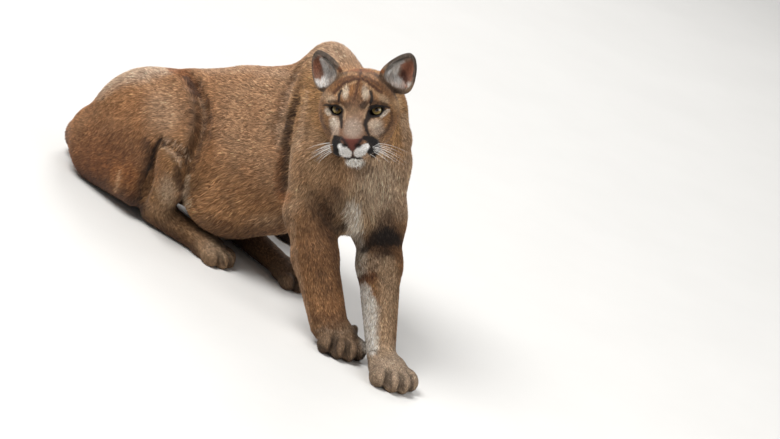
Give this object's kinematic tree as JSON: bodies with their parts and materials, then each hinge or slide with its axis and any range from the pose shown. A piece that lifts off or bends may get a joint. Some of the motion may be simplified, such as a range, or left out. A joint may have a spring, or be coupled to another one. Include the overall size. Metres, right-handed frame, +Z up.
{
  "type": "cougar",
  "caption": "Life-size adult cougar, crouched low on its haunches with its forelegs stretched forward and its head turned to its right; a still model in short tawny fur.",
  "frame": {"origin": "on the floor, under the middle of the box around the whole model", "axes": "+X the way the body faces, +Y to the animal's left, +Z up"},
  "size_m": [1.2038, 0.4882, 0.6336],
  "materials": {
    "coat": "matte short fur, tawny, paler beneath",
    "ear_coat": "matte short fur, grey-brown outside, white within",
    "dark_coat": "matte short fur, brown to black",
    "eye": "wet gloss, amber iris"
  },
  "bodies": {
    "root": {"ear_left": "ear_coat", "ear_right": "ear_coat", "eye_left": "eye", "eye_right": "eye", "foreleg_left": "coat", "foreleg_right": "coat", "forepaw_left": "coat", "forepaw_right": "coat", "head": "coat", "hindleg_left": "coat", "hindleg_right": "coat", "hindpaw_left": "coat", "hindpaw_right": "coat", "neck": "coat", "tail_base": "coat", "tail_middle": "coat", "tail_tip": "dark_coat", "torso": "coat"}
  },
  "joints": []
}
